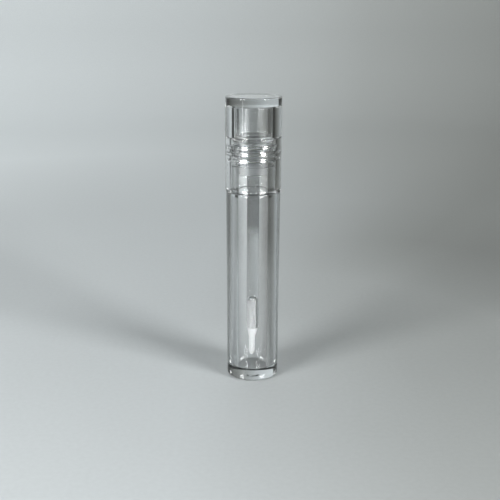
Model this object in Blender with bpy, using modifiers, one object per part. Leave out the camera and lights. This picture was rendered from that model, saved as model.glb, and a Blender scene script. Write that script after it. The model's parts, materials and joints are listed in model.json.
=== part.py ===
"""Clear lip gloss tube: a thick-walled bottle with a threaded neck, a wiper in the neck, and a screw cap
that carries a wand with a flocked tip.

The tube stands on its base, centred on the Z axis, with Z = 0 on the surface that it stands on.
The front is towards -Y. The cap unscrews about Z by a right-hand thread, and the wand leaves with it.
"""
import math

import bmesh
import bpy

MM = 0.001
NAME = "lip_gloss_tube"

# Overall
TOTAL_HEIGHT = 83.4 * MM
GAP = 0.3 * MM  # between faces that touch on the real tube
FINE_GAP = 0.12 * MM  # between the wand's smallest pieces

# Bottle
BODY_TOP_R = 7.8 * MM
BODY_BASE_R = 7.58 * MM  # the mould's draft narrows the body towards its base
SHOULDER_Z = 56.65 * MM
BASE_EDGE_R = 0.8 * MM
SHOULDER_EDGE_R = 0.3 * MM
CAVITY_R = 4.4 * MM
CAVITY_FLOOR_Z = 3.0 * MM
CAVITY_CORNER_R = 0.6 * MM
GATE_R = 1.3 * MM
GATE_DEPTH = 0.2 * MM
COLLAR_R = 6.1 * MM
COLLAR_TOP_Z = 64.1 * MM
NECK_R = 5.65 * MM
NECK_BORE_R = 4.25 * MM
NECK_TOP_Z = 69.8 * MM
BORE_TAPER_LOW_Z = 55.2 * MM  # where the cavity starts to narrow to the neck's bore
BORE_TAPER_HIGH_Z = 56.6 * MM

# Thread, right-handed
PITCH = 1.8 * MM
THREAD_START_DEG = 184.5  # both ridges start on the -X side, between two facets of the walls
NECK_CREST_R = 6.2 * MM
NECK_THREAD_Z = 64.75 * MM  # middle of the ridge where it starts
NECK_THREAD_TURNS = 2.4
CAP_CREST_R = 5.9 * MM
CAP_THREAD_Z = NECK_THREAD_Z + PITCH / 2  # the cap's ridge lies midway between the neck's turns
CAP_THREAD_TURNS = 2.45
RIDGE_ROOT_WIDTH = 1.0 * MM
RIDGE_CREST_WIDTH = 0.4 * MM
RIDGE_SINK = 0.2 * MM  # how deep a ridge's root is buried in its wall
FADE_TURNS = 0.2  # a ridge rises from its wall over this much of a turn

# Cap
CAP_R = 8.0 * MM
CAP_RIM_Z = SHOULDER_Z + GAP
CAP_TOP_EDGE_R = 0.45 * MM
CAP_RIM_EDGE_R = 0.3 * MM
CAP_BORE_R = 6.45 * MM
CAP_STEP_Z = 72.0 * MM
CAP_CAVITY_R = 5.5 * MM
CAP_CAVITY_TOP_Z = 80.75 * MM
CAP_CAVITY_CORNER_R = 0.4 * MM

# Wiper
WIPER_FLANGE_R = 5.45 * MM
WIPER_FLANGE_THICKNESS = 0.55 * MM
WIPER_WALL = 0.8 * MM
WIPER_BOTTOM_Z = 61.7 * MM
WIPER_FUNNEL_TOP_Z = 63.6 * MM
WIPER_LIP_HEIGHT = 0.6 * MM
ORIFICE_R = 2.12 * MM

# Wand stem
STEM_R = 1.8 * MM
STEM_END_Z = 15.0 * MM
STEM_FLANGE_R = 5.85 * MM
STEM_FLANGE_BOTTOM_Z = 70.95 * MM
STEM_ROOT_FILLET_R = 0.6 * MM
HEAD_R = 5.2 * MM
HEAD_BORE_TOP_R = 4.25 * MM  # the head is a cup, open at its top
HEAD_BORE_FLOOR_R = 4.0 * MM
HEAD_FLOOR_Z = 72.3 * MM
HEAD_FLOOR_CORNER_R = 0.7 * MM
SOCKET_R = 1.0 * MM
SOCKET_TOP_Z = 24.85 * MM

# Applicator tip
TIP_END_Z = 6.1 * MM
FOOT_WIDE = 1.78 * MM  # half the flocked foot's width where it meets the stem
FOOT_NARROW = 0.98 * MM  # half its width along the slim part
FOOT_DEEP = 1.35 * MM  # half its depth along the slim part
FOOT_SHIFT = 0.22 * MM  # how far the slim part stands off the axis, towards -X
FIBRE = 0.36 * MM  # depth of the flocking

STEPS = 40  # facets in a full turn
EDGE = 0.2 * MM  # small chamfers
ARC_STEPS = 3


def clear_scene():
    for item in list(bpy.data.objects):
        bpy.data.objects.remove(item, do_unlink=True)
    for group in list(bpy.data.collections):
        bpy.data.collections.remove(group)


def collection(name):
    group = bpy.data.collections.new(name)
    bpy.context.scene.collection.children.link(group)
    return group


def material(name, colour, roughness, transmission=0.0):
    made = bpy.data.materials.new(name)
    made.use_nodes = True
    shader = made.node_tree.nodes["Principled BSDF"]
    shader.inputs["Base Color"].default_value = (*colour, 1.0)
    shader.inputs["Roughness"].default_value = roughness
    shader.inputs["Metallic"].default_value = 0.0
    shader.inputs["Transmission Weight"].default_value = transmission
    made.diffuse_color = (*colour, 1.0)
    return made


def add_object(name, mesh, group, finish=None):
    item = bpy.data.objects.new(name, mesh)
    group.objects.link(item)
    if finish:
        mesh.materials.append(finish)
    return item


def arc(centre_r, centre_z, radius, start_deg, end_deg, steps=ARC_STEPS):
    """Points of an arc in the profile's plane, at angles counted from +X towards +Z."""
    points = []
    for i in range(steps + 1):
        angle = math.radians(start_deg + (end_deg - start_deg) * i / steps)
        points.append((centre_r + radius * math.cos(angle), centre_z + radius * math.sin(angle)))
    return points


def turned(name, profile, group, finish, closed=False):
    """A piece turned about Z from (radius, height) points that run down its outer side."""
    mesh = bpy.data.meshes.new(name)
    count = len(profile)
    edges = [(i, i + 1) for i in range(count - 1)]
    if closed:
        edges.append((count - 1, 0))
    mesh.from_pydata([(r, 0.0, z) for r, z in profile], edges, [])
    item = add_object(name, mesh, group, finish)
    screw = item.modifiers.new("turn", "SCREW")
    screw.axis = "Z"
    screw.angle = 2 * math.pi
    screw.steps = STEPS
    screw.render_steps = STEPS
    screw.use_merge_vertices = True
    screw.merge_threshold = 0.00001
    screw.use_smooth_shade = True
    return item


def loft(name, rings, group, finish=None):
    """A closed solid through rings of equally many points, with a face over its first and its last ring."""
    bm = bmesh.new()
    rows = [[bm.verts.new(point) for point in ring] for ring in rings]
    count = len(rows[0])
    bm.faces.new(rows[0])
    bm.faces.new(list(reversed(rows[-1])))
    for row, following in zip(rows, rows[1:]):
        for i in range(count):
            j = (i + 1) % count
            bm.faces.new((row[i], row[j], following[j], following[i]))
    bmesh.ops.recalc_face_normals(bm, faces=bm.faces)
    mesh = bpy.data.meshes.new(name)
    bm.to_mesh(mesh)
    bm.free()
    mesh.shade_smooth()
    mesh.set_sharp_from_angle(angle=math.radians(40))
    return add_object(name, mesh, group, finish)


def thread_ridge(name, wall_r, crest_r, start_z, turns, group):
    """A helical ridge on a wall, inside or outside it, which fades into the wall at both ends."""
    outwards = 1 if crest_r > wall_r else -1
    height = abs(crest_r - wall_r)
    rings = []
    for i in range(round(turns * STEPS) + 1):
        turn = i / STEPS
        rise = max(0.0, min(1.0, turn / FADE_TURNS, (turns - turn) / FADE_TURNS))
        root = wall_r - outwards * RIDGE_SINK
        crest = wall_r + outwards * (height * rise - RIDGE_SINK / 2 * (1 - rise))
        middle = start_z + PITCH * turn
        angle = math.radians(THREAD_START_DEG) + 2 * math.pi * turn
        section = [
            (root, middle - RIDGE_ROOT_WIDTH / 2),
            (crest, middle - RIDGE_CREST_WIDTH / 2),
            (crest, middle + RIDGE_CREST_WIDTH / 2),
            (root, middle + RIDGE_ROOT_WIDTH / 2),
        ]
        rings.append([(r * math.cos(angle), r * math.sin(angle), z) for r, z in section])
    ridge = loft(name, rings, group)
    ridge.display_type = "WIRE"
    ridge.hide_render = True
    return ridge


def add_ridge(item, ridge):
    union = item.modifiers.new("thread", "BOOLEAN")
    union.operation = "UNION"
    union.solver = "EXACT"
    union.object = ridge


def make_bottle(group, cutters, finish):
    profile = [(0.0, CAVITY_FLOOR_Z)]
    profile += arc(CAVITY_R - CAVITY_CORNER_R, CAVITY_FLOOR_Z + CAVITY_CORNER_R, CAVITY_CORNER_R, -90, 0)
    profile += [
        (CAVITY_R, BORE_TAPER_LOW_Z),
        (NECK_BORE_R, BORE_TAPER_HIGH_Z),
        (NECK_BORE_R, NECK_TOP_Z - EDGE),
        (NECK_BORE_R + EDGE, NECK_TOP_Z),
        (NECK_R - EDGE, NECK_TOP_Z),
        (NECK_R, NECK_TOP_Z - EDGE),
        (NECK_R, COLLAR_TOP_Z),
        (COLLAR_R - EDGE, COLLAR_TOP_Z),
        (COLLAR_R, COLLAR_TOP_Z - EDGE),
        (COLLAR_R, SHOULDER_Z),
    ]
    profile += arc(BODY_TOP_R - SHOULDER_EDGE_R, SHOULDER_Z - SHOULDER_EDGE_R, SHOULDER_EDGE_R, 90, 0)
    profile += arc(BODY_BASE_R - BASE_EDGE_R, BASE_EDGE_R, BASE_EDGE_R, 0, -90, 2 * ARC_STEPS)
    profile += [(GATE_R, 0.0), (GATE_R - EDGE, GATE_DEPTH), (0.0, GATE_DEPTH)]
    bottle = turned("bottle", profile, group, finish)
    ridge = thread_ridge("neck_ridge", NECK_R, NECK_CREST_R, NECK_THREAD_Z, NECK_THREAD_TURNS, cutters)
    add_ridge(bottle, ridge)
    return bottle


def make_wiper(group, finish):
    outer_r = NECK_BORE_R - GAP
    bore_r = outer_r - WIPER_WALL
    flange_z = NECK_TOP_Z + GAP
    top_z = flange_z + WIPER_FLANGE_THICKNESS
    profile = [
        (WIPER_FLANGE_R - EDGE, top_z),
        (WIPER_FLANGE_R, top_z - EDGE),
        (WIPER_FLANGE_R, flange_z),
        (outer_r, flange_z),
        (outer_r, WIPER_BOTTOM_Z + 2 * EDGE),
        (outer_r - EDGE, WIPER_BOTTOM_Z),
        (ORIFICE_R + EDGE, WIPER_BOTTOM_Z),
        (ORIFICE_R, WIPER_BOTTOM_Z + EDGE),
        (ORIFICE_R, WIPER_BOTTOM_Z + WIPER_LIP_HEIGHT),
        (bore_r, WIPER_FUNNEL_TOP_Z),
        (bore_r, top_z - EDGE),
        (bore_r + EDGE, top_z),
    ]
    return turned("wiper", profile, group, finish, closed=True)


def make_cap(group, cutters, finish):
    profile = [(0.0, TOTAL_HEIGHT)]
    profile += arc(CAP_R - CAP_TOP_EDGE_R, TOTAL_HEIGHT - CAP_TOP_EDGE_R, CAP_TOP_EDGE_R, 90, 0)
    profile += arc(CAP_R - CAP_RIM_EDGE_R, CAP_RIM_Z + CAP_RIM_EDGE_R, CAP_RIM_EDGE_R, 0, -90)
    profile += [
        (CAP_BORE_R + EDGE, CAP_RIM_Z),
        (CAP_BORE_R, CAP_RIM_Z + EDGE),
        (CAP_BORE_R, CAP_STEP_Z),
        (CAP_CAVITY_R, CAP_STEP_Z),
    ]
    corner_r = CAP_CAVITY_R - CAP_CAVITY_CORNER_R
    profile += arc(corner_r, CAP_CAVITY_TOP_Z - CAP_CAVITY_CORNER_R, CAP_CAVITY_CORNER_R, 0, 90)
    profile += [(0.0, CAP_CAVITY_TOP_Z)]
    cap = turned("cap", profile, group, finish)
    ridge = thread_ridge("cap_ridge", CAP_BORE_R, CAP_CREST_R, CAP_THREAD_Z, CAP_THREAD_TURNS, cutters)
    add_ridge(cap, ridge)
    return cap


def make_wand_stem(group, finish):
    head_top_z = CAP_CAVITY_TOP_Z - GAP
    flange_top_z = CAP_STEP_Z - GAP
    corner_r = HEAD_BORE_FLOOR_R - HEAD_FLOOR_CORNER_R
    profile = [(0.0, HEAD_FLOOR_Z)]
    profile += arc(corner_r, HEAD_FLOOR_Z + HEAD_FLOOR_CORNER_R, HEAD_FLOOR_CORNER_R, -90, 0)
    profile += [
        (HEAD_BORE_TOP_R, head_top_z - EDGE),
        (HEAD_BORE_TOP_R + EDGE, head_top_z),
        (HEAD_R - EDGE, head_top_z),
        (HEAD_R, head_top_z - EDGE),
        (HEAD_R, flange_top_z),
        (STEM_FLANGE_R - EDGE, flange_top_z),
        (STEM_FLANGE_R, flange_top_z - EDGE),
        (STEM_FLANGE_R, STEM_FLANGE_BOTTOM_Z + EDGE),
        (STEM_FLANGE_R - EDGE, STEM_FLANGE_BOTTOM_Z),
    ]
    fillet_r = STEM_R + STEM_ROOT_FILLET_R
    profile += arc(fillet_r, STEM_FLANGE_BOTTOM_Z - STEM_ROOT_FILLET_R, STEM_ROOT_FILLET_R, 90, 180)
    profile += [
        (STEM_R, STEM_END_Z + EDGE),
        (STEM_R - EDGE, STEM_END_Z),
        (SOCKET_R, STEM_END_Z),
    ]
    profile += arc(0.0, SOCKET_TOP_Z - SOCKET_R, SOCKET_R, 0, 90)
    return turned("wand_stem", profile, group, finish)


def blend(low, high, share):
    """A smooth step from low to high, with share from 0 to 1."""
    share = max(0.0, min(1.0, share))
    return low + (high - low) * share * share * (3 - 2 * share)


def foot_ring(share, inset):
    """One ring of the flocked foot, set in by inset. share runs from 0 at the stem to 1 at the tip's end."""
    shoulder, dome = 0.36, 0.8  # shares of the length where the slim part and the rounded end start
    top_z = STEM_END_Z - FINE_GAP
    z = top_z + (TIP_END_Z - top_z) * share
    slim = share / shoulder
    width = blend(FOOT_WIDE, FOOT_NARROW, slim)
    depth = blend(FOOT_WIDE, FOOT_DEEP, slim)
    shift = -blend(0.0, FOOT_SHIFT, slim)
    past = max(0.0, (share - dome) / (1 - dome))
    rounding = math.sqrt(max(0.0, 1 - (0.93 * past) ** 2))
    length_inset = inset * past  # the inner rings stop short of the outer end
    ring = []
    for i in range(STEPS // 2):
        angle = 2 * math.pi * i / (STEPS // 2)
        x = shift + (width * rounding - inset) * math.cos(angle)
        y = (depth * rounding - inset) * math.sin(angle)
        ring.append((x, y, z + length_inset))
    return ring


def round_ring(radius, z):
    count = STEPS // 2
    turns = [2 * math.pi * i / count for i in range(count)]
    return [(radius * math.cos(a), radius * math.sin(a), z) for a in turns]


FOOT_SHARES = [0.0, 0.08, 0.16, 0.24, 0.34, 0.5, 0.65, 0.8, 0.87, 0.94, 1.0]
CORE_SHARES = [share for share in FOOT_SHARES if 0.08 <= share <= 0.94]


def make_applicator_core(group, finish):
    """The moulded core: a domed shank in the stem's socket, and a foot inside the flocking."""
    shank_r = SOCKET_R - FINE_GAP
    dome_z = SOCKET_TOP_Z - GAP - shank_r
    dome = [round_ring(r, z) for r, z in arc(0.0, dome_z, shank_r, 80, 0)]
    shank = [round_ring(shank_r, STEM_END_Z - FINE_GAP)]
    foot = [foot_ring(share, FIBRE + FINE_GAP) for share in CORE_SHARES]
    return loft("applicator_core", dome + shank + foot, group, finish)


def make_flocking(group, finish):
    """The fibre sleeve over the foot: its inner rings from the end up, then its outer rings down again."""
    inner = [foot_ring(share, FIBRE) for share in reversed(CORE_SHARES)]
    mouth = [round_ring(SOCKET_R, STEM_END_Z - FINE_GAP)]
    outer = [foot_ring(share, 0.0) for share in FOOT_SHARES]
    return loft("flocking", inner + mouth + outer, group, finish)


def empty(name, parent=None):
    made = bpy.data.objects.new(name, None)
    made.empty_display_size = CAP_R
    bpy.context.scene.collection.objects.link(made)
    made.parent = parent
    return made


def main():
    clear_scene()
    pieces = collection(NAME)
    cutters = collection("cutters")

    clear = (0.93, 0.95, 0.95)
    make_bottle(pieces, cutters, material("bottle_clear", clear, 0.03, 1.0))
    make_wiper(pieces, material("wiper_translucent", (0.82, 0.84, 0.86), 0.35, 0.6))
    cap = make_cap(pieces, cutters, material("cap_clear", clear, 0.03, 1.0))
    stem = make_wand_stem(pieces, material("stem_clear", clear, 0.05, 1.0))
    core = make_applicator_core(pieces, material("core_natural", (0.85, 0.87, 0.87), 0.3, 0.5))
    flocking = make_flocking(pieces, material("flock_white", (0.93, 0.94, 0.94), 0.95))

    # Both joints act on the tube's own axis: the wand lifts, and the cap turns as it does
    lift = empty("cap_lift_axis")
    turn = empty("cap_turn_axis", lift)
    stem.parent = lift
    for piece in (cap, core, flocking):
        piece.parent = turn


main()
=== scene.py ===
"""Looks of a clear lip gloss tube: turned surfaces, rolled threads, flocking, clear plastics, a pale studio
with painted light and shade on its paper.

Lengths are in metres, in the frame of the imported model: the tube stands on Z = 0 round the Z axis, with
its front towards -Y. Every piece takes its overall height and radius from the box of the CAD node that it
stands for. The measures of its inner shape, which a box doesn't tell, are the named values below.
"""
import json
import math

import bmesh
import bpy
import numpy as np
from mathutils import Matrix, Vector


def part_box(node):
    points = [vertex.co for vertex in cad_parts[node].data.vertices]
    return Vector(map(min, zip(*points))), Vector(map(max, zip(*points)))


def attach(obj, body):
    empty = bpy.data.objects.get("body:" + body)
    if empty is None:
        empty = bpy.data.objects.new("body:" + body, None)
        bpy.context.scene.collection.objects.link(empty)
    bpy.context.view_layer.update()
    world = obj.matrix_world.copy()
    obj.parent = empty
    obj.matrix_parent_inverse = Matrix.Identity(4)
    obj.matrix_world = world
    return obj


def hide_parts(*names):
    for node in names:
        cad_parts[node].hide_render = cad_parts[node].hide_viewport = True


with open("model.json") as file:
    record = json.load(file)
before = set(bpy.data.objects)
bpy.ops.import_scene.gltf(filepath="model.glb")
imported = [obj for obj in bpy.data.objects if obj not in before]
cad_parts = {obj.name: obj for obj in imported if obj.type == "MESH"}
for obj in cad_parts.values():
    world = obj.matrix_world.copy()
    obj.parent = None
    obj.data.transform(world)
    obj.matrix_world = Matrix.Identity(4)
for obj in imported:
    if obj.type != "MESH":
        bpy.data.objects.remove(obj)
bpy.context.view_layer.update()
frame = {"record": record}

MM = 0.001

# Bottle, from its base upwards
CAVITY_R = 4.4 * MM
CAVITY_FLOOR_Z = 3.0 * MM
GATE_R = 1.3 * MM
GATE_DEPTH = 0.2 * MM
BASE_R = 7.58 * MM  # the body widens from here to the shoulder
SHOULDER_Z = 56.65 * MM
BORE_TAPER_Z = (55.2 * MM, 56.6 * MM)
COLLAR_R = 6.1 * MM
COLLAR_TOP_Z = 64.1 * MM
NECK_R = 5.65 * MM
NECK_BORE_R = 4.25 * MM

# Thread
PITCH = 2 * math.pi * frame["record"]["behaviour"]["couplings"][0]["ratio"]  # the cap's lift in one turn
THREAD_START = math.radians(184.5)  # from +X, where both ridges start
NECK_THREAD = {"wall_r": NECK_R, "crest_r": 6.2 * MM, "start_z": 64.75 * MM, "turns": 2.4}
CAP_BORE_R = 6.45 * MM
CAP_THREAD = {"wall_r": CAP_BORE_R, "crest_r": 5.9 * MM, "start_z": 65.65 * MM, "turns": 2.45}
RIDGE_ROOT_WIDTH = 1.05 * MM
RIDGE_CREST_WIDTH = 0.3 * MM
FADE_TURNS = 0.2
THREAD_ROW = 0.05 * MM  # spacing of the mesh's rows over a thread
THREAD_MARGIN = 0.6 * PITCH  # the dense rows go on for this far below and above a thread
SLOPE_STEP = 1e-6  # a thread's slope is measured over this length

# Cap and wand
CAP_STEP_Z = 72.0 * MM
CAP_CAVITY_R = 5.5 * MM
CAP_CAVITY_TOP_Z = 80.75 * MM
STEM_R = 1.8 * MM
STEM_FLANGE_Z = (70.95 * MM, 71.7 * MM)
HEAD_R = 5.2 * MM
HEAD_BORE_R = (4.25 * MM, 4.0 * MM)  # at its mouth and at its floor
HEAD_FLOOR_Z = 72.3 * MM
SOCKET_R = 1.0 * MM
SOCKET_TOP_Z = 24.85 * MM

STEM_PAINTED_SHADE = [  # (Z, brightness): painted shade, a tint that lets less light through the upper rod, most from 46.5 to 58 mm, for the dark that the clear rod shows there
    (0.03, 1.0), (0.0415, 1.0), (0.0435, 0.94), (0.0465, 0.44), (0.058, 0.44),
    (0.0615, 0.62), (0.0705, 0.7), (0.072, 0.84), (0.085, 0.84),
]

# Wiper
WIPER_R = 4.2 * MM
WIPER_WALL = 0.8 * MM
WIPER_FLANGE_THICKNESS = 0.55 * MM
WIPER_FUNNEL_TOP_Z = 63.6 * MM
WIPER_LIP_HEIGHT = 0.6 * MM
ORIFICE_R = 2.12 * MM

# Flocked foot. Its shares run from 0 at the stem to 1 at the tip.
FOOT_WIDE = 1.78 * MM
FOOT_NARROW = 0.98 * MM
FOOT_DEEP = 1.35 * MM
FOOT_SHIFT = 0.22 * MM
TAPER_SHARE = 0.36  # where it has narrowed
DOME_SHARE = 0.8  # where its end begins to round
DOME_REACH = 0.985  # of the quarter circle that rounds it
INNER_SHARE = 0.93  # where the core and the sleeve's hollow end
FLOCK_DEPTH = 0.36 * MM
CORE_GAP = 0.05 * MM  # between the core's foot and the sleeve
CONTACT = 0.02 * MM  # the moulded core and its flock are pressed this far into the stem
CORE_AIR = 0.5 * MM  # air over the core's dome in the socket
CORE_LEAN = 0.05 * MM  # the shank is pressed to the -X side of its socket, with air on the other side

FIBRE_COUNT = 8000
FIBRE_LENGTH = 0.1 * MM  # of a fibre outside the sleeve
FIBRE_ROOT = 0.04 * MM  # of a fibre inside the sleeve
FIBRE_R = 0.022 * MM
FIBRE_LEAN = 0.22  # spread of the fibres' directions
SEED = 7

AROUND = 176  # facets in a full turn
CORE_AROUND = 48
FLOCK_AROUND = 72
SAME = 1e-7  # two radii that differ by less are one


# ---------------------------------------------------------------- mesh helpers

def fillet(before, corner, after, radius, steps):
    """Points and normals of an arc that rounds a corner between two straight runs."""
    a, c, b = (np.array(p, float) for p in (before, corner, after))
    to_a, to_b = a - c, b - c
    to_a /= np.linalg.norm(to_a)
    to_b /= np.linalg.norm(to_b)
    half = math.acos(max(-1.0, min(1.0, float(to_a @ to_b)))) / 2
    cut = radius / math.tan(half)
    middle = (to_a + to_b) / np.linalg.norm(to_a + to_b)
    centre = c + middle * radius / math.sin(half)
    first, last = c + to_a * cut - centre, c + to_b * cut - centre
    turn = math.atan2(first[0] * last[1] - first[1] * last[0], float(first @ last))
    normal_in = np.array([to_a[1], -to_a[0]])  # of the run that arrives at the corner
    points = []
    for i in range(steps + 1):
        angle = turn * i / steps
        cos, sin = math.cos(angle), math.sin(angle)
        turned = np.array([[cos, -sin], [sin, cos]])
        points.append((*(centre + turned @ first), *(turned @ normal_in)))
    return points


def outline(corners, closed=False):
    """(r, z, normal r, normal z) along a profile, which runs down its outer side.

    Its corners are (r, z, fillet radius). An open profile starts and ends without a fillet.
    """
    count = len(corners)
    row = []
    for i, (r, z, radius) in enumerate(corners):
        if not closed and i in (0, count - 1):
            other = corners[1] if i == 0 else corners[-2]
            direction = np.array([other[0] - r, other[1] - z], float) * (1 if i == 0 else -1)
            direction /= np.linalg.norm(direction)
            row.append((r, z, -direction[1], direction[0]))
            continue
        before, after = corners[i - 1], corners[(i + 1) % count]
        steps = max(4, min(12, round(radius / (0.06 * MM))))
        row += fillet(before[:2], (r, z), after[:2], radius, steps)
    return row


def thread_height(thread, theta, z):
    """How far a thread's ridge stands out of its wall at angle theta and height z."""
    around = (theta - THREAD_START) / (2 * math.pi)
    turn = around + np.round((z - thread["start_z"]) / PITCH - around)
    off = np.abs(z - thread["start_z"] - PITCH * turn)
    share = np.clip((RIDGE_ROOT_WIDTH / 2 - off) / ((RIDGE_ROOT_WIDTH - RIDGE_CREST_WIDTH) / 2), 0, 1)
    rise = np.clip(np.minimum(turn, thread["turns"] - turn) / FADE_TURNS, 0, 1)
    smooth = share * share * (3 - 2 * share) * rise * rise * (3 - 2 * rise)
    return (thread["crest_r"] - thread["wall_r"]) * smooth


def thread_slopes(thread, theta, z):
    """The slope of a thread's ridge going up its wall, and going round it."""
    turn = SLOPE_STEP / thread["wall_r"]
    up = thread_height(thread, theta, z + SLOPE_STEP) - thread_height(thread, theta, z - SLOPE_STEP)
    onward = thread_height(thread, theta + turn, z) - thread_height(thread, theta - turn, z)
    return up / (2 * SLOPE_STEP), onward / (2 * SLOPE_STEP)


def with_thread_rows(row, thread):
    """The outline with dense rows put into the wall that carries a thread."""
    low = thread["start_z"] - THREAD_MARGIN
    high = thread["start_z"] + thread["turns"] * PITCH + THREAD_MARGIN
    made = []
    for here, following in zip(row, row[1:] + row[:1]):
        made.append(here)
        on_wall = max(abs(point[0] - thread["wall_r"]) for point in (here, following)) < SAME
        if not on_wall or abs(here[1] - following[1]) < 2 * PITCH:
            continue
        inside = [z for z in (low, high) if min(here[1], following[1]) < z < max(here[1], following[1])]
        start = max(min(here[1], following[1]), low)
        end = min(max(here[1], following[1]), high)
        rows = np.linspace(start, end, round((end - start) / THREAD_ROW))
        if not inside:
            rows = rows[1:-1]
        if here[1] > following[1]:
            rows = rows[::-1]
        made += [(here[0], float(z), here[2], here[3]) for z in rows if start < z < end or z in inside]
    return made


def lathe(name, corners, thread=None, closed=False):
    """A turned piece with exact normals. A thread is raised on the wall that it names."""
    row = outline(corners, closed)
    if thread:
        row = with_thread_rows(row, thread)
    data = np.array(row)
    theta = np.arange(AROUND) * 2 * math.pi / AROUND
    radius = np.repeat(data[:, :1], AROUND, axis=1)
    height = np.repeat(data[:, 1:2], AROUND, axis=1)
    normal_r = np.repeat(data[:, 2:3], AROUND, axis=1)
    normal_z = np.repeat(data[:, 3:4], AROUND, axis=1)
    normal_t = np.zeros_like(radius)
    angle = np.repeat(theta[None, :], len(row), axis=0)
    if thread:
        on_wall = np.abs(radius - thread["wall_r"]) < SAME
        upward, onward = thread_slopes(thread, angle, height)
        facing = np.where(normal_r > 0, 1.0, -1.0)
        normal_z = np.where(on_wall, -facing * upward, normal_z)
        normal_t = np.where(on_wall, -facing * onward, normal_t)
        radius = radius + np.where(on_wall, thread_height(thread, angle, height), 0.0)
    x, y = radius * np.cos(angle), radius * np.sin(angle)
    nx = normal_r * np.cos(angle) - normal_t * np.sin(angle)
    ny = normal_r * np.sin(angle) + normal_t * np.cos(angle)
    points = np.stack([x, y, height], axis=2)
    normals = np.stack([nx, ny, normal_z], axis=2)
    return grid_mesh(name, points, normals, closed)


def grid_mesh(name, points, normals, closed):
    """A mesh of quads over rows of points. A first or last row on the axis becomes a pole."""
    count, around = points.shape[:2]
    flat, flat_normals = points.reshape(-1, 3), normals.reshape(-1, 3)
    index = np.arange(count * around).reshape(count, around)
    poles = [k for k in (0, count - 1) if not closed and np.hypot(*points[k, 0, :2]) < SAME]
    faces = []
    pairs = [(k, k + 1) for k in range(count - 1)] + ([(count - 1, 0)] if closed else [])
    for k, following in pairs:
        for j in range(around):
            n = (j + 1) % around
            if k in poles:
                faces.append((index[k, 0], index[following, j], index[following, n]))
            elif following in poles:
                faces.append((index[k, j], index[following, 0], index[k, n]))
            else:
                faces.append((index[k, j], index[following, j], index[following, n], index[k, n]))
    mesh = bpy.data.meshes.new(name)
    mesh.from_pydata(flat.tolist(), [], [tuple(int(v) for v in face) for face in faces])
    lengths = np.linalg.norm(flat_normals, axis=1, keepdims=True)
    unit = flat_normals / np.maximum(lengths, 1e-12)
    keep = np.ones(len(flat), bool)
    for k in poles:
        keep[index[k, 1:]] = False
    bm = bmesh.new()
    bm.from_mesh(mesh)
    bm.verts.ensure_lookup_table()
    bmesh.ops.delete(bm, geom=[bm.verts[i] for i in np.flatnonzero(~keep)], context="VERTS")
    bm.to_mesh(mesh)
    bm.free()
    mesh.shade_smooth()
    mesh.normals_split_custom_set_from_vertices(unit[keep].tolist())
    item = bpy.data.objects.new(name, mesh)
    bpy.context.scene.collection.objects.link(item)
    return item


def place(item, body, slot, finish, *nodes):
    """A piece's finish, the body that it rides on, and the CAD nodes that it stands for. slot is not used."""
    item.data.materials.append(finish)
    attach(item, body)
    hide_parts(*nodes)


# ---------------------------------------------------------------- materials

NOISE_MIDDLE = (0.3, 0.7)  # most of a noise texture's values lie between these
MIX_SHARE, MIX_FIRST, MIX_SECOND, MIX_RESULT = 0, 6, 7, 2  # the Mix node's sockets for colours
GREEN_LOSS, BLUE_LOSS = 0.03, 0.12  # in the darkest of the warm greys
PLASTIC_TINT = (0.28, 0.31, 0.32)  # the colour of light that has gone a long way through clear plastic
LAMP_TINT = (0.85, 0.86, 0.87)  # how much of a lamp's light the milky pieces let through


def new_material(name):
    """A material, its node tree, its shader and its output."""
    made = bpy.data.materials.new(name)
    made.use_nodes = True
    tree = made.node_tree
    return made, tree, tree.nodes["Principled BSDF"], tree.nodes["Material Output"]


def add_noise(tree, scale, detail=3.0, stretch=(1, 1, 1)):
    """Noise in the piece's own coordinates, with features about 1 / scale metres across."""
    place_in = tree.nodes.new("ShaderNodeTexCoord")
    mapping = tree.nodes.new("ShaderNodeMapping")
    mapping.inputs["Scale"].default_value = stretch
    noise = tree.nodes.new("ShaderNodeTexNoise")
    noise.inputs["Scale"].default_value = scale
    noise.inputs["Detail"].default_value = detail
    tree.links.new(place_in.outputs["Object"], mapping.inputs["Vector"])
    tree.links.new(mapping.outputs["Vector"], noise.inputs["Vector"])
    return noise


def spread(tree, source, low, high):
    """A number from low to high that follows a texture's middle range."""
    scale = tree.nodes.new("ShaderNodeMapRange")
    scale.inputs["From Min"].default_value, scale.inputs["From Max"].default_value = NOISE_MIDDLE
    scale.inputs["To Min"].default_value = low
    scale.inputs["To Max"].default_value = high
    tree.links.new(source.outputs["Fac"], scale.inputs["Value"])
    return scale.outputs["Result"]


def colours(tree, source, low, high):
    """A colour from low to high that follows a texture's middle range."""
    ramp = tree.nodes.new("ShaderNodeValToRGB")
    for stop, position, colour in zip(ramp.color_ramp.elements, NOISE_MIDDLE, (low, high)):
        stop.position = position
        stop.color = (*colour, 1)
    tree.links.new(source.outputs["Fac"], ramp.inputs["Fac"])
    return ramp.outputs["Color"]


def follow(tree, value, stops, warmth=0.0):
    """A grey that follows a value through (value, brightness) stops. Its dim stops can be warmer."""
    low, high = stops[0][0], stops[-1][0]
    share = tree.nodes.new("ShaderNodeMapRange")
    share.inputs["From Min"].default_value = low
    share.inputs["From Max"].default_value = high
    tree.links.new(value, share.inputs["Value"])
    ramp = tree.nodes.new("ShaderNodeValToRGB")
    elements = ramp.color_ramp.elements
    elements.remove(elements[-1])
    for i, (at, bright) in enumerate(stops):
        position = (at - low) / (high - low)
        stop = elements[0] if i == 0 else elements.new(position)
        stop.position = position
        dim = max(0.0, 1 - bright) * warmth
        stop.color = (bright, bright * (1 - GREEN_LOSS * dim), bright * (1 - BLUE_LOSS * dim), 1)
    tree.links.new(share.outputs["Result"], ramp.inputs["Fac"])
    return ramp.outputs["Color"]


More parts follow.
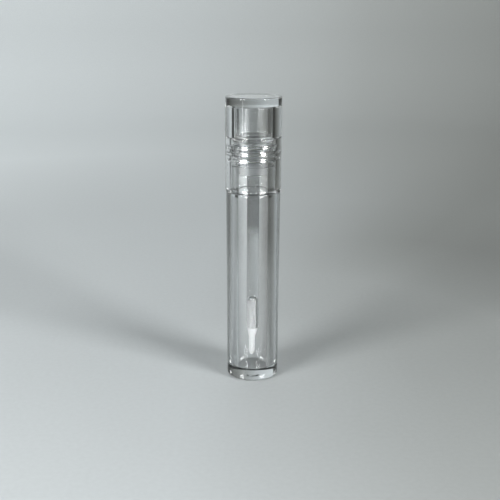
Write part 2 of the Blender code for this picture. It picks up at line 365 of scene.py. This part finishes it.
def mix_colours(tree, first, second):
    """A Mix node over two colours, whose share is still to be set."""
    mix = tree.nodes.new("ShaderNodeMix")
    mix.data_type = "RGBA"
    tree.links.new(first, mix.inputs[MIX_FIRST])
    tree.links.new(second, mix.inputs[MIX_SECOND])
    return mix


def mixed(tree, share, first, second):
    mix = mix_colours(tree, first, second)
    tree.links.new(share, mix.inputs[MIX_SHARE])
    return mix.outputs[MIX_RESULT]


def multiplied(tree, first, second):
    mix = mix_colours(tree, first, second)
    mix.blend_type = "MULTIPLY"
    mix.inputs[MIX_SHARE].default_value = 1.0
    return mix.outputs[MIX_RESULT]


def bump(tree, source, shader, distance):
    """Relief on the shader that follows a texture, distance deep."""
    made = tree.nodes.new("ShaderNodeBump")
    made.inputs["Distance"].default_value = distance
    tree.links.new(source.outputs["Fac"], made.inputs["Height"])
    tree.links.new(made.outputs["Normal"], shader.inputs["Normal"])


def let_lamps_through(tree, shader, output):
    """The milky pieces dim a lamp's light instead of blocking it."""
    path = tree.nodes.new("ShaderNodeLightPath")
    clear = tree.nodes.new("ShaderNodeBsdfTransparent")
    clear.inputs["Color"].default_value = (*LAMP_TINT, 1)
    mix = tree.nodes.new("ShaderNodeMixShader")
    tree.links.new(path.outputs["Is Shadow Ray"], mix.inputs["Fac"])
    tree.links.new(shader.outputs["BSDF"], mix.inputs[1])
    tree.links.new(clear.outputs["BSDF"], mix.inputs[2])
    tree.links.new(mix.outputs["Shader"], output.inputs["Surface"])


def absorb(tree, output, density):
    """The plastic's own tint, which deepens with the length of the way through it."""
    inside = tree.nodes.new("ShaderNodeVolumeAbsorption")
    inside.inputs["Color"].default_value = (*PLASTIC_TINT, 1)
    inside.inputs["Density"].default_value = density
    tree.links.new(inside.outputs["Volume"], output.inputs["Volume"])


def clear_plastic(name, ior, ripple, density, painted_shade_stops=None):
    """Polished clear plastic: faint flow lines along the moulding, changes of gloss, a light grey tint.

    painted_shade_stops, if given, are (Z, brightness) stops of painted shade: a tint that changes along the
    piece.
    """
    made, tree, shader, output = new_material(name)
    absorb(tree, output, density)
    tone = add_noise(tree, 90, 2.0, (1, 1, 0.3))
    tint = colours(tree, tone, (0.985, 0.99, 0.99), (1.0, 1.0, 1.0))
    if painted_shade_stops:
        # painted shade along Z, multiplied into the base colour
        split = tree.nodes.new("ShaderNodeSeparateXYZ")
        tree.links.new(tree.nodes.new("ShaderNodeTexCoord").outputs["Object"], split.inputs["Vector"])
        tint = multiplied(tree, tint, follow(tree, split.outputs["Z"], painted_shade_stops))
    tree.links.new(tint, shader.inputs["Base Color"])
    gloss = add_noise(tree, 400, 4.0)
    tree.links.new(spread(tree, gloss, 0.004, 0.02), shader.inputs["Roughness"])
    shader.inputs["IOR"].default_value = ior
    shader.inputs["Transmission Weight"].default_value = 1.0
    flow = add_noise(tree, 160, 2.0, (1, 1, 0.12))
    bump(tree, flow, shader, ripple)
    return made


def wiper_plastic():
    """Soft translucent polyethylene."""
    made, tree, shader, output = new_material("wiper_translucent")
    tone = add_noise(tree, 260, 4.0)
    tree.links.new(colours(tree, tone, (0.74, 0.77, 0.8), (0.86, 0.88, 0.9)), shader.inputs["Base Color"])
    gloss = add_noise(tree, 900, 3.0)
    tree.links.new(spread(tree, gloss, 0.28, 0.4), shader.inputs["Roughness"])
    shader.inputs["IOR"].default_value = 1.51
    shader.inputs["Transmission Weight"].default_value = 0.75
    bump(tree, gloss, shader, 0.01 * MM)
    let_lamps_through(tree, shader, output)
    return made


def core_plastic():
    """Natural nylon, milky white."""
    made, tree, shader, output = new_material("core_nylon")
    tone = add_noise(tree, 500, 3.0)
    tree.links.new(colours(tree, tone, (0.94, 0.95, 0.96), (0.99, 0.99, 1.0)), shader.inputs["Base Color"])
    gloss = add_noise(tree, 1500, 3.0)
    tree.links.new(spread(tree, gloss, 0.18, 0.3), shader.inputs["Roughness"])
    shader.inputs["IOR"].default_value = 1.53
    bump(tree, gloss, shader, 0.008 * MM)
    let_lamps_through(tree, shader, output)
    return made


def flock_fibre():
    """White nylon flock."""
    made, tree, shader, _ = new_material("flock_white")
    tone = add_noise(tree, 4000, 5.0)
    tree.links.new(colours(tree, tone, (0.92, 0.94, 0.95), (0.99, 1.0, 1.0)), shader.inputs["Base Color"])
    tree.links.new(spread(tree, tone, 0.75, 0.95), shader.inputs["Roughness"])
    shader.inputs["Sheen Weight"].default_value = 0.4
    shader.inputs["Sheen Roughness"].default_value = 0.5
    shader.inputs["Specular IOR Level"].default_value = 0.3
    bump(tree, tone, shader, 0.04 * MM)
    return made


# ---------------------------------------------------------------- pieces

def make_bottle(finish):
    low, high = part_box("bottle")
    corners = [
        (0.0, CAVITY_FLOOR_Z, 0),
        (CAVITY_R, CAVITY_FLOOR_Z, 0.25 * MM),
        (CAVITY_R, BORE_TAPER_Z[0], 1.5 * MM),
        (NECK_BORE_R, BORE_TAPER_Z[1], 1.5 * MM),
        (NECK_BORE_R, high.z, 0.15 * MM),
        (NECK_R, high.z, 0.2 * MM),
        (NECK_R, COLLAR_TOP_Z, 0.12 * MM),
        (COLLAR_R, COLLAR_TOP_Z, 0.15 * MM),
        (COLLAR_R, SHOULDER_Z, 0.4 * MM),
        (high.x, SHOULDER_Z, 0.3 * MM),
        (BASE_R, low.z, 0.8 * MM),
        (GATE_R, low.z, 0.08 * MM),
        (GATE_R - 0.2 * MM, low.z + GATE_DEPTH, 0.12 * MM),
        (0.0, low.z + GATE_DEPTH, 0),
    ]
    bottle = lathe("bottle_shell", corners, NECK_THREAD)
    place(bottle, "bottle_body", "clear_bottle", finish, "bottle")


def make_wiper(finish):
    low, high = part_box("wiper")
    flange_z = high.z - WIPER_FLANGE_THICKNESS
    bore_r = WIPER_R - WIPER_WALL
    corners = [
        (high.x, high.z, 0.12 * MM),
        (high.x, flange_z, 0.12 * MM),
        (WIPER_R, flange_z, 0.08 * MM),
        (WIPER_R, low.z, 0.35 * MM),
        (ORIFICE_R, low.z, 0.1 * MM),
        (ORIFICE_R, low.z + WIPER_LIP_HEIGHT, 0.1 * MM),
        (bore_r, WIPER_FUNNEL_TOP_Z, 0.5 * MM),
        (bore_r, high.z, 0.12 * MM),
    ]
    wiper = lathe("wiper_sleeve", corners, closed=True)
    place(wiper, "bottle_body", "soft_wiper", finish, "wiper")


def make_cap(finish):
    low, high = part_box("cap")
    corners = [
        (0.0, high.z, 0),
        (high.x, high.z, 0.45 * MM),
        (high.x, low.z, 0.3 * MM),
        (CAP_BORE_R, low.z, 0.35 * MM),
        (CAP_BORE_R, CAP_STEP_Z, 0.25 * MM),
        (CAP_CAVITY_R, CAP_STEP_Z, 0.12 * MM),
        (CAP_CAVITY_R, CAP_CAVITY_TOP_Z, 0.4 * MM),
        (0.0, CAP_CAVITY_TOP_Z, 0),
    ]
    cap = lathe("cap_shell", corners, CAP_THREAD)
    place(cap, "cap_body", "clear_cap", finish, "cap")


def make_wand(finish):
    low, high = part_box("wand_stem")
    flange_low, flange_top = STEM_FLANGE_Z
    corners = [
        (0.0, HEAD_FLOOR_Z, 0),
        (HEAD_BORE_R[1], HEAD_FLOOR_Z, 0.7 * MM),
        (HEAD_BORE_R[0], high.z, 0.15 * MM),
        (HEAD_R, high.z, 0.2 * MM),
        (HEAD_R, flange_top, 0.12 * MM),
        (high.x, flange_top, 0.12 * MM),
        (high.x, flange_low, 0.12 * MM),
        (STEM_R, flange_low, 0.6 * MM),
        (STEM_R, low.z, 0.1 * MM),
        (SOCKET_R, low.z, 0.04 * MM),
        (SOCKET_R, SOCKET_TOP_Z, 0.98 * SOCKET_R),
        (0.0, SOCKET_TOP_Z, 0),
    ]
    wand = lathe("wand_rod", corners)
    place(wand, "wand_body", "clear_stem", finish, "wand_stem")


def into_dome(share):
    """How far a section of the foot lies into its rounded end, from 0 to 1."""
    return np.clip((share - DOME_SHARE) / (1 - DOME_SHARE), 0, 1)


def foot_section(share, inset, top_z, end_z):
    """Half width, half depth, shift along X and height of a section of the foot, set in by inset."""
    slim = np.clip(share / TAPER_SHARE, 0, 1)
    past = into_dome(share)
    rounding = np.sqrt(np.maximum(0.0, 1 - (DOME_REACH * past) ** 2))
    width = (FOOT_WIDE + (FOOT_NARROW - FOOT_WIDE) * slim) * rounding - inset
    depth = (FOOT_WIDE + (FOOT_DEEP - FOOT_WIDE) * slim) * rounding - inset
    height = top_z + (end_z - top_z) * share + inset * past
    return np.maximum(width, 0), np.maximum(depth, 0), -FOOT_SHIFT * slim, height


def ring(width, depth, shift, z, around):
    """The points of a level oval ring, whose centre is shifted along X."""
    theta = np.arange(around) * 2 * math.pi / around
    return np.stack([shift + width * np.cos(theta), depth * np.sin(theta), np.full(around, z)], axis=1)


def closed_loft(name, rings):
    """A closed solid through rings of equally many points, with a fan over its first and its last ring."""
    bm = bmesh.new()
    rows = [[bm.verts.new(tuple(map(float, point))) for point in ring] for ring in rings]
    for row, following in zip(rows, rows[1:]):
        for j in range(len(row)):
            n = (j + 1) % len(row)
            bm.faces.new((row[j], following[j], following[n], row[n]))
    for ring in (rows[0], rows[-1]):
        middle = sum((v.co for v in ring), Vector()) / len(ring)
        hub = bm.verts.new(middle)
        for j in range(len(ring)):
            bm.faces.new((ring[j], ring[(j + 1) % len(ring)], hub))
    bmesh.ops.recalc_face_normals(bm, faces=bm.faces)
    mesh = bpy.data.meshes.new(name)
    bm.to_mesh(mesh)
    bm.free()
    mesh.shade_smooth()
    item = bpy.data.objects.new(name, mesh)
    bpy.context.scene.collection.objects.link(item)
    return item


def make_core(finish):
    """A domed shank in the stem's socket, over a foot inside the flock."""
    low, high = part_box("flocking")
    shank_r = SOCKET_R + CONTACT
    rings = []
    for lift in np.radians(np.linspace(6, 90, 14)):
        r, z = shank_r * math.sin(lift), SOCKET_TOP_Z - CORE_AIR - shank_r * (1 - math.cos(lift))
        rings.append(ring(r, r, -CORE_LEAN, z, CORE_AROUND))
    rings.append(ring(shank_r, shank_r, -CORE_LEAN, high.z, CORE_AROUND))
    for share in np.linspace(0.06, INNER_SHARE, 24):
        rings.append(ring(*foot_section(share, FLOCK_DEPTH + CORE_GAP, high.z, low.z), CORE_AROUND))
    core = closed_loft("tip_core", rings)
    place(core, "cap_body", "natural_core", finish, "applicator_core")


def make_flocking(finish):
    """A sleeve over the core's foot, from the tip up its inside and down its outside, with fibres on it."""
    end_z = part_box("flocking")[0].z
    top_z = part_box("wand_stem")[0].z + CONTACT
    rim = SOCKET_R + 2 * CONTACT
    rings = []
    for share in np.linspace(INNER_SHARE, 0.0, 24)[:-1]:
        rings.append(ring(*foot_section(share, FLOCK_DEPTH, top_z, end_z), FLOCK_AROUND))
    rings.append(ring(rim, rim, 0.0, top_z, FLOCK_AROUND))
    for share in np.linspace(0.0, 1.0, 90):
        rings.append(ring(*foot_section(share, FIBRE_LENGTH, top_z, end_z), FLOCK_AROUND))
    sleeve = closed_loft("flock_sleeve", rings)
    add_fibres(sleeve.data, top_z, end_z)
    place(sleeve, "cap_body", "white_flock", finish, "flocking")


def add_fibres(mesh, top_z, end_z):
    """Short upright fibres all over the sleeve, each a slim closed pyramid whose foot is in the sleeve."""
    random = np.random.default_rng(SEED)
    share = random.uniform(0.004, 0.995, FIBRE_COUNT)
    angle = random.uniform(0, 2 * math.pi, FIBRE_COUNT)
    width, depth, shift, z = foot_section(share, FIBRE_LENGTH, top_z, end_z)
    dome = into_dome(share)
    spot = np.stack([shift + width * np.cos(angle), depth * np.sin(angle), z], axis=1)
    least = 0.2 * MM  # so that the slim end of the foot has directions too
    across, through = np.cos(angle) / np.maximum(width, least), np.sin(angle) / np.maximum(depth, least)
    out = np.stack([across, through], axis=1)
    out /= np.linalg.norm(out, axis=1, keepdims=True)
    way = np.column_stack([out * np.sqrt(1 - 0.8 * dome[:, None] ** 2), -0.9 * dome**2])
    way += random.normal(0, FIBRE_LEAN, way.shape)
    beside_stem = share < 0.05  # fibres here don't point up into the stem
    way[:, 2] = np.where(beside_stem, np.minimum(way[:, 2], 0), way[:, 2])
    way /= np.linalg.norm(way, axis=1, keepdims=True)
    side = np.cross(way, (0.31, 0.17, 0.93))  # any fixed direction that no fibre has
    side /= np.linalg.norm(side, axis=1, keepdims=True)
    other = np.cross(way, side)
    foot = spot - way * FIBRE_ROOT
    tip = spot + way * (FIBRE_LENGTH * random.uniform(0.7, 1.0, (FIBRE_COUNT, 1)))
    points, faces = [], []
    for turn in (90, 210, 330):
        a = math.radians(turn)
        points.append(foot + (side * math.cos(a) + other * math.sin(a)) * FIBRE_R)
    points = np.stack(points + [tip], axis=1).reshape(-1, 3)
    for first in range(0, len(points), 4):
        a, b, c, d = range(first, first + 4)
        faces += [(a, c, b), (a, b, d), (b, c, d), (c, a, d)]
    fibres = bpy.data.meshes.new("fibres")
    fibres.from_pydata(points.tolist(), [], faces)
    bm = bmesh.new()
    bm.from_mesh(mesh)
    bm.from_mesh(fibres)
    bmesh.ops.recalc_face_normals(bm, faces=bm.faces)
    bm.to_mesh(mesh)
    bm.free()
    bpy.data.meshes.remove(fibres)
    mesh.shade_smooth()


# ---------------------------------------------------------------- studio

FLOOR_DROP = 0.03 * MM
ROOM_R = 0.95
ROOM_CORNER_R = 0.4
ROOM_HEIGHT = 1.1
FLOOR_RINGS = 12
SWEEP_STEPS = 24
ROOM_AROUND = 96

# Painted light and shade on the paper round the tube, by X in metres: darker towards +X, where the lamps'
# light falls off
NEAR_PAINTED_LIGHT = [
    (-0.05, 1.03), (-0.02, 1.0), (0.01, 0.88), (0.03, 0.78), (0.05, 0.7), (0.08, 0.62), (0.1, 0.6),
]
# Further out, painted light and shade by direction: degrees from straight behind the tube, towards +X. The
# painted shade is deepest to the sides, where the studio falls away into the dark
MID_PAINTED_LIGHT = [
    (-180, 0.9), (-156, 1.0), (-148, 0.8), (-122, 0.8), (-112, 0.7), (-98, 0.38), (-80, 0.38),
    (-69, 0.75), (-51, 0.98), (-30, 1.1), (-5, 1.04), (10, 0.84), (20, 0.62), (28, 0.5), (45, 0.44),
    (56, 0.4), (60, 0.3), (98, 0.3), (112, 0.35), (150, 0.4), (180, 0.8),
]
# Beyond that, and on the wall, painted light and shade by direction: near-black painted shade to each side,
# dim in front, and a painted brighter patch behind on the left
FAR_PAINTED_LIGHT = [
    (-180, 0.35), (-160, 0.4), (-145, 0.9), (-105, 0.9), (-85, 0.5), (-75, 0.06), (-50, 0.06),
    (-47, 1.3), (-33, 1.25), (-28, 1.2), (-15, 1.08), (-5, 0.96), (5, 0.8), (10, 0.68), (15, 0.6),
    (20, 0.53), (25, 0.45), (31, 0.38), (43, 0.28), (50, 0.13), (55, 0.06), (75, 0.06), (85, 0.3),
    (110, 0.4), (145, 0.4), (160, 0.3), (180, 0.35),
]
# Where one set of levels gives way to the next, by distance in metres
NEAR_TO_MID = [(0.1, 0.0), (0.17, 1.0)]
MID_TO_FAR = [(0.24, 0.0), (0.4, 1.0)]
# Strength of the paper's painted glow, by distance in metres: light of its own, which stands in for the
# lamps' light further out
PAINTED_GLOW = [
    (0.05, 0.0), (0.1, 0.075), (0.16, 0.1), (0.22, 0.155), (0.4, 0.4), (0.72, 0.44), (0.79, 0.41),
    (0.86, 0.46), (0.9, 0.85), (0.95, 0.85), (0.97, 0.5), (1.02, 0.85), (1.1, 0.85), (1.18, 0.08),
    (1.4, 0.08),
]

CAMERA_PLACE = (-0.00085, -0.2396, 0.1082)
CAMERA_PITCH = 16.2  # degrees below level
CAMERA_ROLL = 0.2
LENS_LENGTH = 61.2  # in millimetres, as Blender has it
SENSOR_WIDTH = 36.0


def painted_stage_light(tree):
    """Painted light and shade on the paper, and its painted glow: pale round the tube, and by direction
    further out.
    """
    spot = tree.nodes.new("ShaderNodeTexCoord").outputs["Object"]
    split = tree.nodes.new("ShaderNodeSeparateXYZ")
    tree.links.new(spot, split.inputs["Vector"])
    turn = tree.nodes.new("ShaderNodeMath")
    turn.operation = "ARCTAN2"
    tree.links.new(split.outputs["X"], turn.inputs[0])
    tree.links.new(split.outputs["Y"], turn.inputs[1])
    azimuth = tree.nodes.new("ShaderNodeMath")
    azimuth.operation = "DEGREES"
    tree.links.new(turn.outputs["Value"], azimuth.inputs[0])
    length = tree.nodes.new("ShaderNodeVectorMath")
    length.operation = "LENGTH"
    tree.links.new(spot, length.inputs[0])
    away = length.outputs["Value"]
    # painted light and shade: by X near the tube, by direction further out
    near = follow(tree, split.outputs["X"], NEAR_PAINTED_LIGHT, 1.0)
    mid = follow(tree, azimuth.outputs["Value"], MID_PAINTED_LIGHT, 1.0)
    far = follow(tree, azimuth.outputs["Value"], FAR_PAINTED_LIGHT, 1.0)
    level = mixed(tree, follow(tree, away, NEAR_TO_MID), near, mid)
    level = mixed(tree, follow(tree, away, MID_TO_FAR), level, far)
    return level, follow(tree, away, PAINTED_GLOW)


def paper_with_painted_light():
    """Pale paper with a fine grain, with painted light and shade and a painted glow on it."""
    made, tree, shader, _ = new_material("paper_with_painted_light")
    paper = colours(tree, add_noise(tree, 700, 3.0), (0.475, 0.505, 0.513), (0.495, 0.527, 0.535))
    level, glow = painted_stage_light(tree)
    # the paper's grain times painted light and shade
    tint = multiplied(tree, paper, level)
    tree.links.new(tint, shader.inputs["Base Color"])
    # painted glow: the paper gives light of its own, coloured like its painted light and shade
    tree.links.new(tint, shader.inputs["Emission Color"])
    tree.links.new(glow, shader.inputs["Emission Strength"])
    shader.inputs["Roughness"].default_value = 0.42
    shader.inputs["Specular IOR Level"].default_value = 0.24
    return made


def make_room():
    """A pale floor that sweeps up into a wall all round, with painted light and shade on its paper."""
    row = [(r, 0.0) for r in np.linspace(0.0, ROOM_R - ROOM_CORNER_R, FLOOR_RINGS)]
    for i in range(1, SWEEP_STEPS + 1):
        angle = math.radians(90 * i / SWEEP_STEPS)
        row.append((ROOM_R - ROOM_CORNER_R * (1 - math.sin(angle)), ROOM_CORNER_R * (1 - math.cos(angle))))
    row.append((ROOM_R, ROOM_HEIGHT))
    theta = np.arange(ROOM_AROUND) * 2 * math.pi / ROOM_AROUND
    bm = bmesh.new()
    rows = [[bm.verts.new((0, 0, -FLOOR_DROP))]]
    for r, z in row[1:]:
        rows.append([bm.verts.new((r * math.cos(t), r * math.sin(t), z - FLOOR_DROP)) for t in theta])
    for k in range(len(rows) - 1):
        for j in range(ROOM_AROUND):
            n = (j + 1) % ROOM_AROUND
            if k == 0:
                bm.faces.new((rows[0][0], rows[1][j], rows[1][n]))
            else:
                bm.faces.new((rows[k][j], rows[k + 1][j], rows[k + 1][n], rows[k][n]))
    mesh = bpy.data.meshes.new("studio_sweep")
    bm.to_mesh(mesh)
    bm.free()
    mesh.shade_smooth()
    room = bpy.data.objects.new("studio_sweep", mesh)
    bpy.context.scene.collection.objects.link(room)
    room.data.materials.append(paper_with_painted_light())


def add_lamp(name, azimuth, elevation, distance, size, power, aim_z):
    """A soft lamp, aimed at a height on the tube. Azimuth 0 is in front of the tube, and turns towards +X."""
    a, e = math.radians(azimuth), math.radians(elevation)
    way = Vector((math.sin(a) * math.cos(e), -math.cos(a) * math.cos(e), math.sin(e)))
    data = bpy.data.lights.new(name, "AREA")
    data.shape = "RECTANGLE"
    data.size, data.size_y = size
    data.energy = power
    lamp = bpy.data.objects.new(name, data)
    bpy.context.scene.collection.objects.link(lamp)
    lamp.location = Vector((0, 0, aim_z)) + way * distance
    lamp.rotation_euler = way.to_track_quat("Z", "Y").to_euler()
    lamp.visible_camera = False


def make_lamps():
    """Two soft lamps in front, a small weak one low at the left, and a little light from all round."""
    add_lamp("front_left", azimuth=-46, elevation=16, distance=0.58, size=(0.24, 0.29), power=4.8, aim_z=0.03)
    add_lamp("front_right", azimuth=51, elevation=18, distance=0.7, size=(0.26, 0.32), power=6.65, aim_z=0.03)
    low_size = (0.024, 0.036)
    add_lamp("low_strip", azimuth=-44, elevation=0, distance=0.42, size=low_size, power=0.017, aim_z=0.02)
    world = bpy.data.worlds.new("studio_air")
    bpy.context.scene.world = world
    world.use_nodes = True
    background = world.node_tree.nodes["Background"]
    background.inputs["Color"].default_value = (0.9, 0.95, 1.0, 1)
    background.inputs["Strength"].default_value = 0.09


def make_camera():
    """In front of the tube and a little above it, looking down."""
    data = bpy.data.cameras.new("camera")
    data.lens = LENS_LENGTH
    data.sensor_width = SENSOR_WIDTH
    data.clip_start, data.clip_end = 0.01, 10.0
    camera = bpy.data.objects.new("camera", data)
    bpy.context.scene.collection.objects.link(camera)
    tilt = Matrix.Rotation(math.radians(90 - CAMERA_PITCH), 4, "X")
    roll = Matrix.Rotation(math.radians(CAMERA_ROLL), 4, "Z")
    camera.matrix_world = Matrix.Translation(CAMERA_PLACE) @ tilt @ roll
    bpy.context.scene.camera = camera


def set_colour_and_bounces():
    """Plain colours, and enough bounces for light that goes in and out of several clear walls."""
    scene = bpy.context.scene
    scene.view_settings.view_transform = "Standard"
    scene.view_settings.look = "None"
    scene.cycles.max_bounces = 32
    scene.cycles.transmission_bounces = 32
    scene.cycles.glossy_bounces = 12
    scene.cycles.diffuse_bounces = 4
    scene.cycles.transparent_max_bounces = 48
    scene.cycles.sample_clamp_indirect = 0.0  # light that the clear pieces focus keeps its full strength
    scene.cycles.use_denoising = True


def main():
    make_camera()
    make_bottle(clear_plastic("bottle_clear", ior=1.52, ripple=0.002 * MM, density=46.0))
    make_wiper(wiper_plastic())
    make_cap(clear_plastic("cap_clear", ior=1.5, ripple=0.001 * MM, density=38.0))
    # the stem carries painted shade along its upper rod
    make_wand(clear_plastic("stem_clear", ior=1.5, ripple=0.002 * MM, density=24.0, painted_shade_stops=STEM_PAINTED_SHADE))
    make_core(core_plastic())
    make_flocking(flock_fibre())
    make_room()
    make_lamps()
    set_colour_and_bounces()


main()
